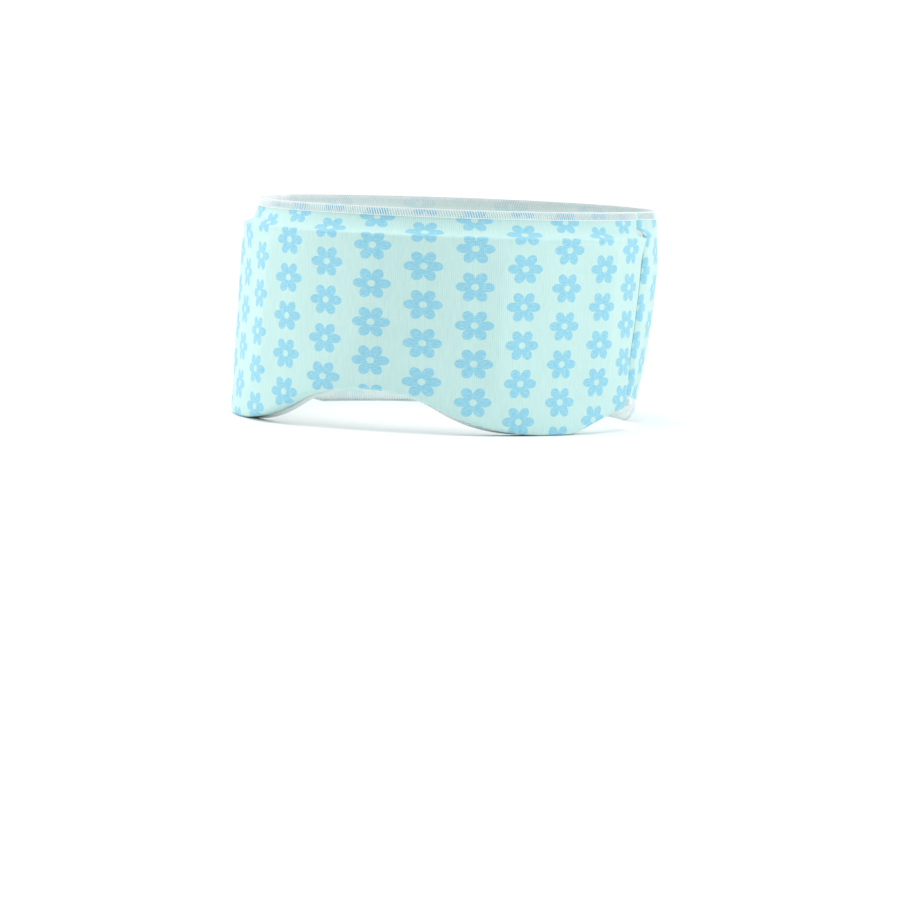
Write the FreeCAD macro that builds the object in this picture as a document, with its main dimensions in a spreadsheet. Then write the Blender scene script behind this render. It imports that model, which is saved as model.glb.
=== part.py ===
import FreeCAD, Part
import math
import os
import Sketcher
from FreeCAD import Rotation, Vector

# A slip-on eye pillow: a stretch cover worn round the head, and a gel pack that lies over
# the eyes in the pocket between the cover's two front plies.
# X runs ear to ear, -Y is the face, +Z is up. The origin is under the middle of the band,
# on the surface that the band stands on. The front leans back, and everything that the
# pack slides past follows that lean, so the pack lifts straight out of the pocket mouth.

SIZES = {
    # the head that the cover is cut for
    "head_breadth": 156.6,      # inside of the lining, ear to ear
    "front_depth": 92.3,        # from the side seams forward to the lining at the nose
    "lean_angle": 6,            # of the front, back from upright, in degrees
    # the cover
    "band_height": 90,
    "cloth": 0.8,               # one ply of brushed knit
    "back_depth": 104,          # from the side seams back to the fullest part of the back
    "bulge_height": 67,         # of that fullest part
    "top_tuck": 3,              # how much less deep the back is at its top edge
    "foot_tuck": 20,            # and at its bottom edge
    "foot_pinch": 5.5,          # how much each side draws in at the bottom of the back
    "tuck_curve": 1.6,          # power that shapes the draw down to the bottom edge
    # the bottom edge: an arch over the nose and one over each ear
    "nose_rise": 17,
    "nose_crown": 75,
    "nose_flank": 78,
    "ear_rise": 10,
    "ear_crown": 120,
    "ear_flank": 22,
    # seams and edge stitching
    "seam_width": 2,            # folded allowances of a side seam, front to back
    "bottom_bundle": 2,         # turned allowance along the bottom of the pocket
    "thread_wrap": 0.4,         # overlock thread on each face and over the edge
    "stitch_depth": 3,          # of the overlock, down from the edge
    "mouth_gap": 0.3,           # between the two overlocked lips of the pocket
    "label_length": 24,
    "label_height": 16,
    "label_cloth": 0.3,
    # the gel pack and its room in the pocket
    "pack_depth": 5.1,          # over both films
    "film": 0.3,
    "pack_drop": 9,             # from the cover's top edge down to the pack
    "ledge_fall": 3.4,          # height over which the outer ply steps in above the pack
    "back_gap": 0.7,            # clears the lining's overlock as the pack slides past
    "front_gap": 0.3,
    "foot_gap": 0.3,
    "end_gap": 0.6,
    "channels": 12,
    "weld_angle": 1.6,          # of each dividing weld, in degrees round the head
    "rim": 4,                   # welded border round the gel
}
REACH = 150                     # half-size of the solids that only trim others

doc = FreeCAD.newDocument("eye_pillow")
sheet = doc.addObject("Spreadsheet::Sheet", "sizes")
for row, (alias, value) in enumerate(SIZES.items(), start=1):
    sheet.set(f"A{row}", alias)
    sheet.set(f"B{row}", str(value))
    sheet.setAlias(f"B{row}", alias)
doc.recompute()


# ---- sizes worked out from the sheet, as expressions ----

def cell(alias):
    return f"sizes.{alias}"


top = cell("band_height")
cloth = cell("cloth")
wrap = cell("thread_wrap")

# distances out from the head, layer by layer
lining_face = cloth
pack_back = f"({lining_face} + {cell('back_gap')})"
pack_front = f"({pack_back} + {cell('pack_depth')})"
panel_back = f"({pack_front} + {cell('front_gap')})"
panel_face = f"({panel_back} + {cloth})"
lip_back = f"({lining_face} + 2 * {wrap} + {cell('mouth_gap')})"
lip_face = f"({lip_back} + {cloth})"

pack_top = f"({top} - {cell('pack_drop')})"
ledge = f"({pack_top} + {cell('foot_gap')})"
lip_foot = f"({ledge} + {cell('ledge_fall')})"

# the side seams' plane at mid-height, placed so that the band's front and back are as far
# from the origin as each other
seam_y = (
    f"(({cell('front_depth')} + {panel_face} - {cell('back_depth')}"
    f" - ({cell('nose_rise')} + {cell('bulge_height')} - {top}) * tan({cell('lean_angle')})) / 2)"
)


def centre_y(height):
    """Where the leaning line through the side seams stands at a height."""
    return f"({seam_y} + ({height} - {top} / 2) * tan({cell('lean_angle')}))"


# ---- building blocks ----

def bind(thing, **expressions):
    for prop, expression in expressions.items():
        thing.setExpression(prop.replace("__", "."), str(expression))
    return thing


def ring(name, half_breadth, half_depth, height, start_at_back):
    """A level ellipse round the head, whose start point is kept off the wall that is used.

    An ellipse gives its longer radius first, so one that is wider than it is deep is turned
    back by a quarter and starts a quarter later.
    """
    wider = f"{half_breadth} > {half_depth}"
    turn, wide_turn = (90, 0) if start_at_back else (270, 180)
    ellipse = doc.addObject("Part::Ellipse", name)
    ellipse.Placement.Rotation = Rotation(Vector(0, 0, 1), turn)
    return bind(
        ellipse,
        MajorRadius=f"max({half_breadth}; {half_depth})",
        MinorRadius=f"min({half_breadth}; {half_depth})",
        Angle1=f"{wider} ? 90 : 0", Angle2=f"{wider} ? 450 : 360",
        Placement__Rotation__Angle=f"{wider} ? {wide_turn} : {turn}",
        Placement__Base__y=centre_y(height), Placement__Base__z=height,
    )


def loft(name, rings, ruled):
    solid = doc.addObject("Part::Loft", name)
    solid.Sections = rings
    solid.Solid = True
    solid.Ruled = ruled
    return solid


def front_core(name, steps):
    """A solid out to the given (height, distance from the head) steps, along the lean."""
    rings = [
        ring(
            f"{name}_ring_{count}",
            f"{cell('head_breadth')} / 2 + {distance}",
            f"{cell('front_depth')} + {distance}",
            height, True,
        )
        for count, (height, distance) in enumerate(steps)
    ]
    return loft(name, rings, True)


def straight_core(name, distance):
    return front_core(name, [(f"(-{REACH})", distance), (f"({REACH})", distance)])


def lipped_core(name, body_distance, lip_distance, lift):
    """The outer ply's shape: full over the pack, then stepping in to the pocket's lip."""
    return front_core(name, [
        (f"(-{REACH})", body_distance),
        (f"({ledge} + {lift})", body_distance),
        (f"({lip_foot} + {lift})", lip_distance),
        (f"({REACH})", lip_distance),
    ])


def back_core(name, distance):
    """The back of the band: fullest above the middle, drawn in towards both edges."""
    bulge = cell("bulge_height")
    rings = []
    for count, share in enumerate((0, 0.25, 0.5, 0.75)):
        height = f"({bulge} * {share})"
        draw = f"{1 - share} ^ {cell('tuck_curve')}"
        rings.append(ring(
            f"{name}_ring_{count}",
            f"{cell('head_breadth')} / 2 + {panel_face} + {distance} - {cell('foot_pinch')} * {draw}",
            f"{cell('back_depth')} + {distance} - {cell('foot_tuck')} * {draw}",
            height, False,
        ))
    rings.append(ring(
        f"{name}_ring_bulge", f"{cell('head_breadth')} / 2 + {panel_face} + {distance}",
        f"{cell('back_depth')} + {distance}", bulge, False,
    ))
    rings.append(ring(
        f"{name}_ring_top", f"{cell('head_breadth')} / 2 + {lip_face} + {distance}",
        f"{cell('back_depth')} + {distance} - {cell('top_tuck')}", top, False,
    ))
    return loft(name, rings, False)


def boolean(kind, name, base, tool):
    result = doc.addObject(f"Part::{kind}", name)
    result.Base = base
    result.Tool = tool
    return result


def common(name, first, *others):
    """What every one of the solids shares."""
    for count, other in enumerate(others):
        last = count == len(others) - 1
        first = boolean("Common", name if last else f"{name}_in_{count}", first, other)
    return first


def cut(name, base, tool):
    return boolean("Cut", name, base, tool)


def leaning_box(name, near, far, left, right):
    """A box whose front and back faces lean with the seams, from near to far behind them."""
    box = doc.addObject("Part::Box", name)
    box.Placement.Rotation = Rotation(Vector(-1, 0, 0), SIZES["lean_angle"])
    lean = cell("lean_angle")
    return bind(
        box, Length=f"{right} - ({left})", Width=f"{far} - ({near})", Height=2 * REACH,
        Placement__Rotation__Angle=lean, Placement__Base__x=left,
        Placement__Base__y=f"{centre_y(0)} + ({near}) * cos({lean}) - {REACH} * sin({lean})",
        Placement__Base__z=f"-({near}) * sin({lean}) - {REACH} * cos({lean})",
    )


def level_box(name, low, high):
    box = doc.addObject("Part::Box", name)
    return bind(
        box, Length=2 * REACH, Width=2 * REACH, Height=f"{high} - {low}",
        Placement__Base__x=-REACH, Placement__Base__y=-REACH, Placement__Base__z=low,
    )


def arched_outline(name, turn, middle, arch, inset, height):
    """A sketch whose lower edge is level with one arch in it, parallel to the cover's edge."""
    rise, crown, flank = (SIZES[f"{arch}_{part}"] for part in ("rise", "crown", "flank"))
    span = ((crown + flank) ** 2 - (crown + flank - rise) ** 2) ** 0.5
    slope = math.asin(span / (crown + flank))
    sketch = doc.addObject("Sketcher::SketchObject", name)
    sketch.Placement.Rotation = turn
    up, quarter = Vector(0, 0, 1), math.pi / 2
    arcs = [
        Part.ArcOfCircle(Part.Circle(Vector(0, rise - crown, 0), up, crown),
                         quarter - slope, quarter + slope),
        Part.ArcOfCircle(Part.Circle(Vector(span, flank, 0), up, flank),
                         3 * quarter - slope, 3 * quarter),
        Part.ArcOfCircle(Part.Circle(Vector(-span, flank, 0), up, flank),
                         3 * quarter, 3 * quarter + slope),
    ]
    corners = [
        Vector(span, 0, 0), Vector(REACH, 0, 0), Vector(REACH, REACH, 0),
        Vector(-REACH, REACH, 0), Vector(-REACH, 0, 0), Vector(-span, 0, 0),
    ]
    lines = [Part.LineSegment(a, b) for a, b in zip(corners, corners[1:])]
    sketch.addGeometry(arcs + lines, False)
    crown_arc, right_arc, left_arc, right_foot, right_side, lid, left_side, left_foot = range(8)
    start, end, centre, origin = 1, 2, 3, -1
    for one, one_end, other, other_end in (
        (crown_arc, start, right_arc, start), (right_arc, end, right_foot, start),
        (crown_arc, end, left_arc, end), (left_arc, start, left_foot, end),
    ):
        sketch.addConstraint(Sketcher.Constraint("Tangent", one, one_end, other, other_end))
    for one, other in ((right_foot, right_side), (right_side, lid), (lid, left_side),
                       (left_side, left_foot)):
        sketch.addConstraint(Sketcher.Constraint("Coincident", one, end, other, start))
    for line in (right_foot, lid, left_foot):
        sketch.addConstraint(Sketcher.Constraint("Horizontal", line))
    for line in (right_side, left_side):
        sketch.addConstraint(Sketcher.Constraint("Vertical", line))
    sized = {
        "crown_radius": ("Radius", (crown_arc,), crown, f"{cell(arch + '_crown')} + {inset}"),
        "right_radius": ("Radius", (right_arc,), flank, f"{cell(arch + '_flank')} - {inset}"),
        "left_radius": ("Radius", (left_arc,), flank, f"{cell(arch + '_flank')} - {inset}"),
        "crown_at": ("DistanceY", (origin, start, crown_arc, centre), rise - crown,
                     f"{cell(arch + '_rise')} - {cell(arch + '_crown')}"),
        "right_at": ("DistanceY", (origin, start, right_arc, centre), flank,
                     cell(arch + "_flank")),
        "left_at": ("DistanceY", (origin, start, left_arc, centre), flank,
                    cell(arch + "_flank")),
        "lid_at": ("DistanceY", (origin, start, lid, start), REACH, height),
    }
    fixed = {
        "middle": ("DistanceX", (origin, start, crown_arc, centre), 0),
        "right_end": ("DistanceX", (origin, start, lid, start), REACH),
        "left_end": ("DistanceX", (lid, end, origin, start), REACH),
    }
    for label, (kind, places, value, *_) in {**sized, **fixed}.items():
        number = sketch.addConstraint(Sketcher.Constraint(kind, *places, value))
        sketch.renameConstraint(number, label)
    for label, (_, _, _, expression) in sized.items():
        sketch.setExpression(f"Constraints.{label}", expression)
    bind(sketch, Placement__Base__y=middle)
    solid = doc.addObject("Part::Extrusion", f"{name}_trim")
    solid.Base = sketch
    solid.DirMode = "Normal"
    solid.Symmetric = True
    solid.Solid = True
    return bind(solid, LengthFwd=4 * REACH)


FACING_BACK = Rotation(Vector(1, 0, 0), 90)
FACING_SIDE = Rotation(Vector(1, 1, 1), 120)


def ear_trim(name, inset, height):
    return arched_outline(f"{name}_ear", FACING_SIDE, centre_y(cell("ear_rise")), "ear",
                          inset, height)


def front_trim(name, inset, height):
    """Everything above the front's bottom edge, raised by the inset, up to a height."""
    nose = arched_outline(f"{name}_nose", FACING_BACK, "0", "nose", inset, height)
    return common(f"{name}_trim", nose, ear_trim(name, inset, height))


# ---- trims that several pieces share ----

half_seam = f"{cell('seam_width')} / 2"
front_half = leaning_box("front_half", f"-{REACH}", f"-{half_seam}", f"-{REACH}", REACH)
back_half = leaning_box("back_half", half_seam, REACH, f"-{REACH}", REACH)
pack_half = leaning_box(
    "pack_half", f"-{REACH}", f"-{half_seam} - {cell('end_gap')}", f"-{REACH}", REACH)
cloth_top = f"({top} - {wrap})"
cloth_front = front_trim("cloth_front", 0, cloth_top)
edge_zone = level_box("edge_zone", f"({top} - {cell('stitch_depth')})", top)

head_core = straight_core("head_core", 0)
lining_core = straight_core("lining_core", lining_face)
panel_core = lipped_core("panel_core", panel_face, lip_face, f"{cloth} / 2")
pocket_core = lipped_core("pocket_core", panel_back, lip_back, 0)


# ---- the cover ----

def front_ply(name, outside, inside):
    return common(name, cut(f"{name}_wall", outside, inside), cloth_front, front_half)


def top_overlock(name, ply, outside, inside, half):
    """Thread wound over the top edge of a ply, on both of its faces."""
    wall = cut(f"{name}_wall", outside, inside)
    return cut(name, common(f"{name}_band", wall, edge_zone, half), ply)


def side_seam(name, left, right):
    slab = leaning_box(f"{name}_slab", f"-{half_seam}", half_seam, left, right)
    wall = cut(f"{name}_wall", panel_core, head_core)
    return common(name, wall, ear_trim(name, 0, top), slab)


inner_front_panel = front_ply("inner_front_panel", lining_core, head_core)
outer_front_panel = front_ply("outer_front_panel", panel_core, pocket_core)
inner_top_overlock = top_overlock(
    "inner_top_overlock", inner_front_panel,
    straight_core("inner_thread_face", f"({lining_face} + {wrap})"),
    straight_core("inner_thread_back", f"(-{wrap})"), front_half,
)
outer_top_overlock = top_overlock(
    "outer_top_overlock", outer_front_panel,
    straight_core("outer_thread_face", f"({lip_face} + {wrap})"),
    straight_core("outer_thread_back", f"({lip_back} - {wrap})"), front_half,
)
left_side_seam = side_seam("left_side_seam", f"-{REACH}", "0")
right_side_seam = side_seam("right_side_seam", "0", REACH)

pocket_floor = common(
    "pocket_floor", cut("pocket_wall", pocket_core, lining_core), cloth_front, front_half)
bottom_seam = cut(
    "bottom_seam", pocket_floor, front_trim("over_bundle", cell("bottom_bundle"), top))

back_wall = cut("back_wall", back_core("back_face", "0"), back_core("back_lining", f"(-{cloth})"))
back_panel = common("back_panel", back_wall, ear_trim("back_cloth", wrap, cloth_top), back_half)
thread_wall = cut("thread_wall", back_core("thread_face", wrap),
                  back_core("thread_lining", f"(-{cloth} - {wrap})"))
back_thread = cut("back_thread", common("back_thread_wall", thread_wall, back_half), back_panel)
back_top_overlock = common("back_top_overlock", back_thread, edge_zone)
back_bottom_overlock = cut(
    "back_bottom_overlock",
    common("back_bottom_zone", back_thread, ear_trim("back_edge", 0, f"({top} / 2)")),
    ear_trim("over_stitches", cell("stitch_depth"), top),
)

label_strip = leaning_box(
    "label_strip", 0, cell("label_length"),
    f"-({cell('head_breadth')} / 2)", f"-({cell('head_breadth')} / 2 - {cell('label_cloth')})")
label_zone = level_box(
    "label_zone", f"({top} - {cell('label_height')}) / 2", f"({top} + {cell('label_height')}) / 2")
care_label = cut(
    "care_label", common("label_blank", label_strip, label_zone), left_side_seam)

# ---- the gel pack ----

pack_foot = f"({cell('bottom_bundle')} + {cell('foot_gap')})"
pack_trim = front_trim("pack", pack_foot, pack_top)
gel_trim = front_trim("gel", f"({pack_foot} + {cell('rim')})", f"({pack_top} - {cell('rim')})")
film = cell("film")
pack_face_core = straight_core("pack_face_core", pack_front)
gel_face_core = straight_core("gel_face_core", f"({pack_front} - {film})")
gel_back_core = straight_core("gel_back_core", f"({pack_back} + {film})")
pack_back_core = straight_core("pack_back_core", pack_back)


def pack_layer(name, outside, inside):
    return common(name, cut(f"{name}_wall", outside, inside), pack_trim, pack_half)


pack_front_film = pack_layer("pack_front_film", pack_face_core, gel_face_core)
pack_back_film = pack_layer("pack_back_film", gel_back_core, pack_back_core)
pack_middle = pack_layer("pack_middle", gel_face_core, gel_back_core)
gel_end = leaning_box(
    "gel_end", f"-{REACH}", f"-{half_seam} - {cell('end_gap')} - {cell('rim')}",
    f"-{REACH}", REACH)
gel_sheet = common("gel_sheet", pack_middle, gel_trim, gel_end)

gel_cells = []
channels = round(SIZES["channels"])
pitch = f"(180 / {channels})"
for number in range(1, channels + 1):
    sector = doc.addObject("Part::Cylinder", f"sector_{number}")
    lean = Rotation(Vector(-1, 0, 0), SIZES["lean_angle"])
    first = 180 + 180 / channels * (number - 1) + SIZES["weld_angle"] / 2
    sector.Placement.Rotation = lean * Rotation(Vector(0, 0, 1), first)
    bind(
        sector, Radius=REACH, Height=2 * REACH, Angle=f"{pitch} - {cell('weld_angle')}",
        Placement__Base__y=f"{centre_y(0)} - {REACH} * sin({cell('lean_angle')})",
        Placement__Base__z=f"-{REACH} * cos({cell('lean_angle')})",
    )
    gel_cells.append(common(f"gel_cell_{number:02d}", gel_sheet, sector))
gel = doc.addObject("Part::Compound", "gel")
gel.Links = gel_cells
pack_welds = cut("pack_welds", pack_middle, gel)

# ---- check and write ----

nodes = [
    inner_front_panel, outer_front_panel, back_panel, left_side_seam, right_side_seam,
    bottom_seam, inner_top_overlock, outer_top_overlock, back_top_overlock,
    back_bottom_overlock, care_label, pack_front_film, pack_back_film, pack_welds, *gel_cells,
]
doc.recompute()
for thing in doc.Objects:
    if "Invalid" in thing.State or "Error" in thing.State:
        raise RuntimeError(f"{thing.Label} failed: {thing.State}")
for node in nodes:
    if node.Shape.isNull() or not node.Shape.isValid() or not node.Shape.Solids:
        raise RuntimeError(f"{node.Label} has no valid solid")
os.makedirs("parts", exist_ok=True)
for node in nodes:
    node.Shape.exportStep(f"parts/{node.Label}.step")
    box = node.Shape.BoundBox
    print(f"{node.Label}: {len(node.Shape.Solids)} solid(s), {node.Shape.Volume:.0f} mm3,"
          f" x {box.XMin:.1f}..{box.XMax:.1f} y {box.YMin:.1f}..{box.YMax:.1f}"
          f" z {box.ZMin:.1f}..{box.ZMax:.1f}")
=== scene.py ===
"""A slip-on eye pillow: a flower-printed stretch band with a channelled gel pack over the eyes.

The band stands on its lower edge. Two front plies make a pocket that is open at the top, the
gel pack lies in it, and a single ply goes round the back of the head.
"""

import bisect
import logging
import math
from dataclasses import dataclass, field
from enum import Enum
from typing import Callable, Iterable

import bmesh
import bpy
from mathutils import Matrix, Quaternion, Vector


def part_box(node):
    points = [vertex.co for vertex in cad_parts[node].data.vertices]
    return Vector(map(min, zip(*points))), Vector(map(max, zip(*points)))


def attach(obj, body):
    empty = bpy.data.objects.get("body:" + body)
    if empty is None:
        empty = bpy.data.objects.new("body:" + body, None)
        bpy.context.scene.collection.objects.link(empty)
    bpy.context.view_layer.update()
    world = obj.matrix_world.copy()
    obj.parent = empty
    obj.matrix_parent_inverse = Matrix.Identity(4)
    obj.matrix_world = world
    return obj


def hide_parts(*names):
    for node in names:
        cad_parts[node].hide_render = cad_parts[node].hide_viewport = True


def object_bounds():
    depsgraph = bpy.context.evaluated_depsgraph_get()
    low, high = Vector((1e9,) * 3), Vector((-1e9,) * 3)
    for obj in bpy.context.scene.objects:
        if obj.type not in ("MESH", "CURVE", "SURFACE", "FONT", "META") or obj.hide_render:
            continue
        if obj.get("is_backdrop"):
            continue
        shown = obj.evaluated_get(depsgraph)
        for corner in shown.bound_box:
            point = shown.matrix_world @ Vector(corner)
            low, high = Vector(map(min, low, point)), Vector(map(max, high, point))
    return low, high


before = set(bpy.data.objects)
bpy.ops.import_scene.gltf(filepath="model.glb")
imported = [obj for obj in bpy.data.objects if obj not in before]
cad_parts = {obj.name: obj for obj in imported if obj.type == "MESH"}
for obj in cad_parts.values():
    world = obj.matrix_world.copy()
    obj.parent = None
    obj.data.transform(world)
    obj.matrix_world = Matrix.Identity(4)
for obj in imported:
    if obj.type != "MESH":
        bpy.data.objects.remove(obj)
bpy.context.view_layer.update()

LOG = logging.getLogger("eye_pillow")
MM = 0.001
RIGHT_ANGLE = math.pi / 2
Colour = tuple[float, float, float, float]
Pair = tuple[float, float]


def smooth(value: float) -> float:
    """Ease a value from 0 to 1, and hold it outside that range."""
    value = min(max(value, 0.0), 1.0)
    return value * value * (3.0 - 2.0 * value)


def blend(share: float, first: float, second: float) -> float:
    """Return the value a share of the way from first to second."""
    return first + (second - first) * share


# ---- the shape that every piece follows ----


@dataclass(frozen=True)
class Arch:
    """An arch in the band's lower edge: a round crown that eases out to level on each side."""

    rise: float
    crown: float
    flank: float

    def height(self, across: float) -> float:
        """Return the edge's height at a distance from the arch's middle.

        Args:
            across: Distance along the level from the middle of the arch.

        Returns:
            The height of the edge above the level.
        """
        across = abs(across)
        both = self.crown + self.flank
        span = math.sqrt(both**2 - (both - self.rise) ** 2)
        if across >= span:
            return 0.0
        if across > span * self.crown / both:
            return self.flank - math.sqrt(self.flank**2 - (span - across) ** 2)
        return self.rise - self.crown + math.sqrt(self.crown**2 - across**2)


@dataclass(frozen=True)
class Band:
    """The band round the head, as angles from the nose, heights, and distances off the head."""

    half_breadth: float
    seam_y: float
    height: float
    front_depth: float = 92.3 * MM
    back_depth: float = 104 * MM
    lean: float = math.radians(6)
    cloth: float = 0.8 * MM
    face: float = 7.7 * MM
    lip: float = 2.7 * MM
    thread: float = 0.4 * MM
    pack_top: float = 81 * MM
    pack_back: float = 1.5 * MM
    pack_front: float = 6.6 * MM
    bulge_height: float = 67 * MM
    top_tuck: float = 3 * MM
    foot_tuck: float = 20 * MM
    foot_pinch: float = 5.5 * MM
    tuck_curve: float = 1.6
    top_share: float = 0.75
    top_step: float = 0.4
    nose: Arch = Arch(17 * MM, 75 * MM, 78 * MM)
    ear: Arch = Arch(10 * MM, 120 * MM, 22 * MM)
    edge_level: float = 5 * MM
    seam_sweep: float = math.radians(8.0)
    sweep_height: float = 80 * MM
    sweep_curve: float = 1.1
    seam_reach: float = 22 * MM
    seam_dip: float = 1.3 * MM
    seam_dip_width: float = 1.5 * MM
    step_height: float = 1.8 * MM
    lip_flare: float = 0.6 * MM
    flare_height: float = 8 * MM

    @classmethod
    def from_frame(cls) -> "Band":
        """Read the band's breadth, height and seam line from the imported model.

        Returns:
            The band.
        """
        lining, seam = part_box("inner_front_panel"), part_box("right_side_seam")
        low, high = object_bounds()
        height = high[2] - low[2]
        middle = (seam[0][1] + seam[1][1]) / 2
        above = (seam[0][2] + seam[1][2]) / 2 - height / 2
        return cls(
            half_breadth=lining[1][0] - cls.cloth,
            seam_y=middle - above * math.tan(cls.lean),
            height=height,
        )

    def centre_y(self, z: float) -> float:
        """Return where the leaning line between the side seams stands at a height."""
        return self.seam_y + (z - self.height / 2) * math.tan(self.lean)

    def front(self, angle: float, z: float, off: float) -> Vector:
        """Return a point of the front.

        Args:
            angle: Angle round the head from the nose.
            z: Height.
            off: Distance off the head.

        Returns:
            The point.
        """
        return Vector((
            (self.half_breadth + off) * math.sin(angle),
            self.centre_y(z) - (self.front_depth + off) * math.cos(angle),
            z,
        ))

    def seam_angle(self, z: float) -> float:
        """Return the angle of the right side seam at a height; it sweeps forward to its foot."""
        share = min(max(z, 0.0) / self.sweep_height, 1.0)
        return RIGHT_ANGLE - self.seam_sweep * (1 - share) ** self.sweep_curve

    def swept(self, angle: float, z: float) -> float:
        """Return an angle of the front once its ends are drawn in to the side seams."""
        return angle * self.seam_angle(z) / RIGHT_ANGLE

    def dip(self, from_seam: float) -> float:
        """Return how far the cloth is drawn in at a distance from a side seam."""
        return self.seam_dip * math.exp(-((from_seam / self.seam_dip_width) ** 2))

    def back_draw(self, z: float) -> tuple[float, float]:
        """Return how far the back is drawn in at a height.

        Args:
            z: Height.

        Returns:
            How far at its sides, and how far at its middle.
        """
        if z < self.bulge_height:
            draw = (1 - max(z, 0.0) / self.bulge_height) ** self.tuck_curve
            return self.foot_pinch * draw, self.foot_tuck * draw
        share = (z - self.bulge_height) / (self.height - self.bulge_height)
        rise = smooth(share * self.top_share) / smooth(self.top_share)
        return (self.face - self.lip) * self.top_step * rise, self.top_tuck * rise

    def ledge(self, z: float) -> float:
        """Return the front's distance off the head beside a seam, at a height."""
        flare = self.lip_flare * smooth((self.height - z) / self.flare_height)
        return blend(smooth((z - self.pack_top) / self.step_height), self.face, self.lip + flare)

    def back(self, angle: float, z: float, off: float) -> Vector:
        """Return a point of the back, whose sides start from the front's shape at the seams.

        Args:
            angle: Angle round the head from the nose, from a quarter to three quarters of a turn.
            z: Height.
            off: Distance out from the outer face.

        Returns:
            The point.
        """
        side, middle = self.back_draw(z)
        seam = self.seam_angle(z)
        from_seam = min(angle - seam, 4 * RIGHT_ANGLE - seam - angle) * self.back_depth
        near_seam = 1 - smooth(from_seam / self.seam_reach)
        reach = blend(near_seam, self.face - side, self.ledge(z)) + off
        breadth = self.half_breadth + reach
        ahead = math.cos(angle) > 0
        depth = self.front_depth + reach if ahead else self.back_depth - middle + off
        return Vector((
            breadth * math.sin(angle), self.centre_y(z) - depth * math.cos(angle), z,
        ))

    def front_edge(self, angle: float) -> float:
        """Return the height of the lower edge of the front.

        Args:
            angle: Angle round the head from the nose.

        Returns:
            The height, under the nose's arch or an ear's.
        """
        point = self.front(angle, self.edge_level, self.face)
        ear = self.ear.height(point.y - self.centre_y(self.ear.rise))
        return max(self.nose.height(point.x), ear)

    def back_edge(self, angle: float) -> float:
        """Return the height of the lower edge of the back at an angle."""
        point = self.back(angle, self.edge_level, 0.0)
        return self.ear.height(point.y - self.centre_y(self.ear.rise))


class Tape:
    """A tape laid along a curve, which turns lengths into angles and back."""

    def __init__(self, curve: Callable[[float], Vector], start: float, end: float,
                 steps: int = 720) -> None:
        """Measure a curve.

        Args:
            curve: The curve, from an angle to a point.
            start: The first angle.
            end: The last angle.
            steps: How many straight runs to measure it in.
        """
        self.angles = [blend(count / steps, start, end) for count in range(steps + 1)]
        points = [curve(angle) for angle in self.angles]
        self.lengths = [0.0]
        for first, second in zip(points, points[1:]):
            self.lengths.append(self.lengths[-1] + (second - first).length)

    @property
    def length(self) -> float:
        """The whole length of the curve."""
        return self.lengths[-1]

    def from_end(self, length: float) -> float:
        """Return how far a length along the tape is from its nearer end."""
        return min(length, self.length - length)

    @staticmethod
    def _look_up(value: float, known: list[float], wanted: list[float]) -> float:
        """Read one list against another, with straight runs between their entries.

        Args:
            value: What is looked up.
            known: The rising list that it is looked up in.
            wanted: The list that the answer is read from.

        Returns:
            The answer.
        """
        place = min(max(bisect.bisect_right(known, value) - 1, 0), len(known) - 2)
        share = (value - known[place]) / (known[place + 1] - known[place])
        return blend(share, wanted[place], wanted[place + 1])

    def angle_at(self, length: float) -> float:
        """Return the angle at a length along the tape."""
        return self._look_up(length, self.lengths, self.angles)

    def length_at(self, angle: float) -> float:
        """Return the length along the tape at an angle."""
        return self._look_up(angle, self.angles, self.lengths)


# ---- shader maths ----


class Value:
    """A shader socket that sums can be written with."""

    def __init__(self, graph: "Graph", socket: bpy.types.NodeSocket) -> None:
        """Wrap a socket of a graph."""
        self.graph = graph
        self.socket = socket

    def __add__(self, other: "Number") -> "Value":
        """Add."""
        return self.graph.maths("ADD", self, other)

    __radd__ = __add__

    def __sub__(self, other: "Number") -> "Value":
        """Take away."""
        return self.graph.maths("SUBTRACT", self, other)

    def __rsub__(self, other: "Number") -> "Value":
        """Take this away from a number."""
        return self.graph.maths("SUBTRACT", other, self)

    def __mul__(self, other: "Number") -> "Value":
        """Multiply."""
        return self.graph.maths("MULTIPLY", self, other)

    __rmul__ = __mul__

    def __truediv__(self, other: "Number") -> "Value":
        """Divide."""
        return self.graph.maths("DIVIDE", self, other)

    def __abs__(self) -> "Value":
        """Drop the sign."""
        return self.graph.maths("ABSOLUTE", self)

    def rounded(self) -> "Value":
        """Round to the nearest whole number."""
        return self.graph.maths("ROUND", self)

    def sine(self) -> "Value":
        """Return the sine."""
        return self.graph.maths("SINE", self)

    def rise(self, low: float, high: float) -> "Value":
        """Ease from 0 at low to 1 at high, or fall where high is the lower of the two.

        Args:
            low: Where the result is 0.
            high: Where the result is 1.

        Returns:
            The eased value.
        """
        fall = high < low
        node = self.graph.node(
            "ShaderNodeMapRange", {"interpolation_type": "SMOOTHSTEP"},
            {"Value": self, "From Min": min(low, high), "From Max": max(low, high),
             "To Min": 1.0 if fall else 0.0, "To Max": 0.0 if fall else 1.0},
        )
        return Value(self.graph, node.outputs["Result"])


Number = Value | float


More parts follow.
